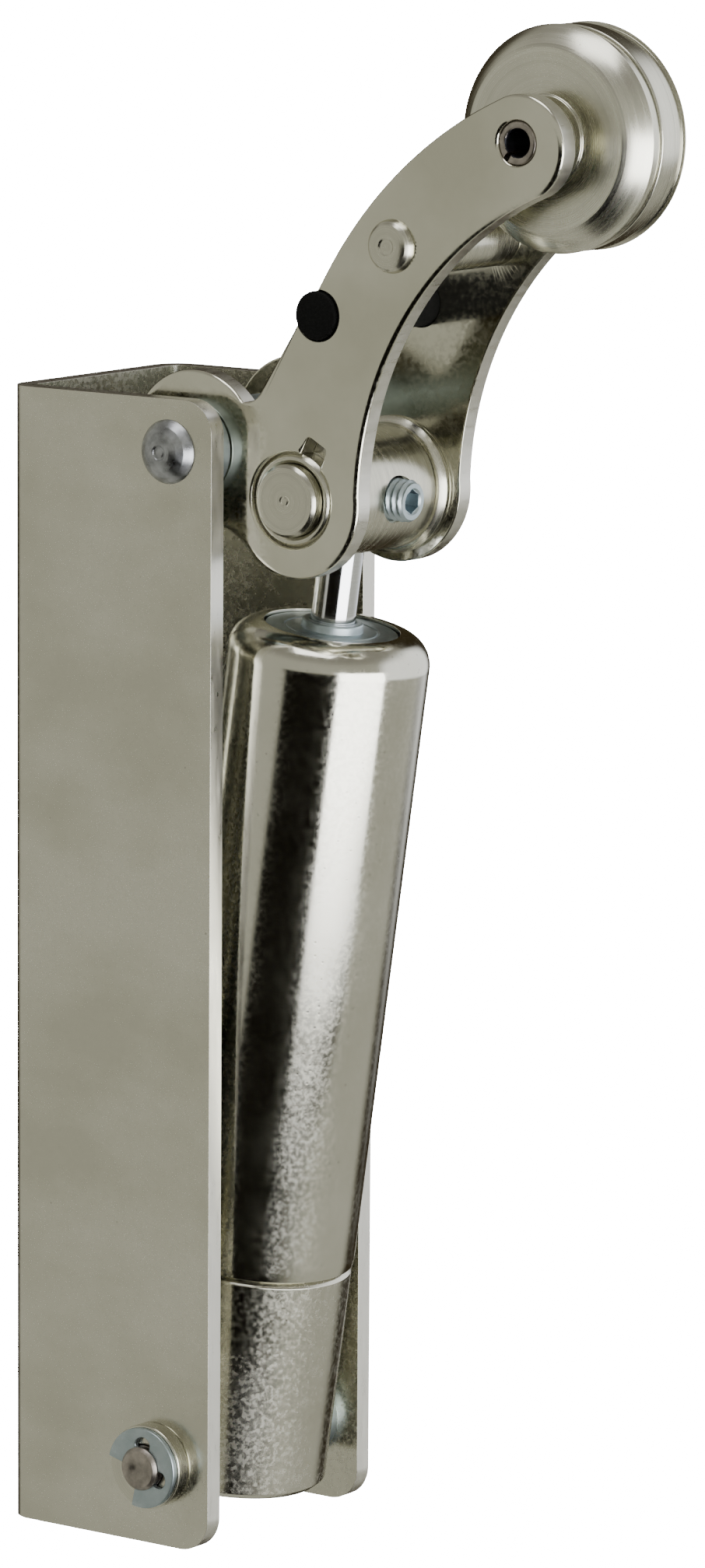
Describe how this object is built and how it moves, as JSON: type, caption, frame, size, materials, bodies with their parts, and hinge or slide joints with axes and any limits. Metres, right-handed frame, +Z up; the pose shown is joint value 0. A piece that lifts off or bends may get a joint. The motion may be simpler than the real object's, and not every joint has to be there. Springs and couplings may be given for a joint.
{
  "type": "roller door closer",
  "caption": "Surface door closer: a sheet metal channel holds a tilted hydraulic spring cylinder that drives a two-plate swing arm with a roller at its tip.",
  "frame": {"origin": "centre of the channel's flat back face, which lies on the door", "axes": "+X away from the door, +Y along the pins, +Z up along the channel towards the roller"},
  "size_m": [0.0963, 0.0444, 0.2121],
  "materials": {
    "nickel_plate": "satin nickel plated sheet with faint mottling",
    "nickel_turned": "nickel plated turned steel with fine turning marks",
    "nickel_polished": "polished nickel plated tube",
    "zinc": "bright blue zinc plating",
    "dark_steel": "plain steel, a little dark",
    "hard_chrome": "ground hard chrome",
    "bronze": "sintered bronze",
    "black_rubber": "matt black rubber"
  },
  "bodies": {
    "housing_body": {"housing": "nickel_plate", "pivot_rivet": "dark_steel", "pivot_washers": "zinc", "lower_pin": "dark_steel", "pin_collar": "nickel_turned", "pin_clip": "zinc", "pin_spacers": "zinc"},
    "arm": {"near_cheek": "nickel_plate", "far_cheek": "nickel_plate", "pivot_tube": "zinc", "spacer_rivet": "nickel_turned", "stop_rod": "black_rubber", "roller_pin": "zinc", "bolt_bushes": "nickel_turned"},
    "roller": {"roller_near_half": "nickel_turned", "roller_far_half": "nickel_turned", "roller_ring": "nickel_turned", "roller_bush": "bronze"},
    "rod": {"cross_bolt": "nickel_turned", "set_screw": "zinc", "piston_rod": "hard_chrome", "piston": "dark_steel", "piston_ring": "black_rubber", "piston_nut": "zinc"},
    "cylinder": {"cylinder_tube": "nickel_polished", "base_cap": "nickel_turned", "cap_seal": "black_rubber", "rod_guide": "dark_steel", "guide_seal": "black_rubber", "rod_wiper": "black_rubber", "gland_disc": "zinc", "compensator": "dark_steel", "compensator_ring": "black_rubber", "closing_spring": "dark_steel"}
  },
  "joints": [
    {"name": "arm_swing", "type": "hinge", "parent": "housing_body", "child": "arm", "pos_m": [0.0282, 0, 0.0728], "axis": [0, -1, 0], "range_deg": [0, 60], "stiffness_Nm_per_rad": 1.2, "springref_deg": -20.05},
    {"name": "roller_spin", "type": "hinge", "parent": "arm", "child": "roller", "pos_m": [0.0811, 0, 0.1169], "axis": [0, 1, 0], "continuous": true},
    {"name": "bolt_turn", "type": "hinge", "parent": "arm", "child": "rod", "pos_m": [0.0447, 0, 0.0669], "axis": [0, 1, 0], "range_deg": [0, 58]},
    {"name": "rod_slide", "type": "slide", "parent": "rod", "child": "cylinder", "axis": [-0.1416, 0, -0.9899], "range_m": [0, 0.0169], "deforming": ["closing_spring"]}
  ],
  "couplings": [
    {"joint": "bolt_turn", "follows": "arm_swing", "ratio": 0.9654},
    {"joint": "rod_slide", "follows": "arm_swing", "m_per_rad": 0.016038}
  ]
}
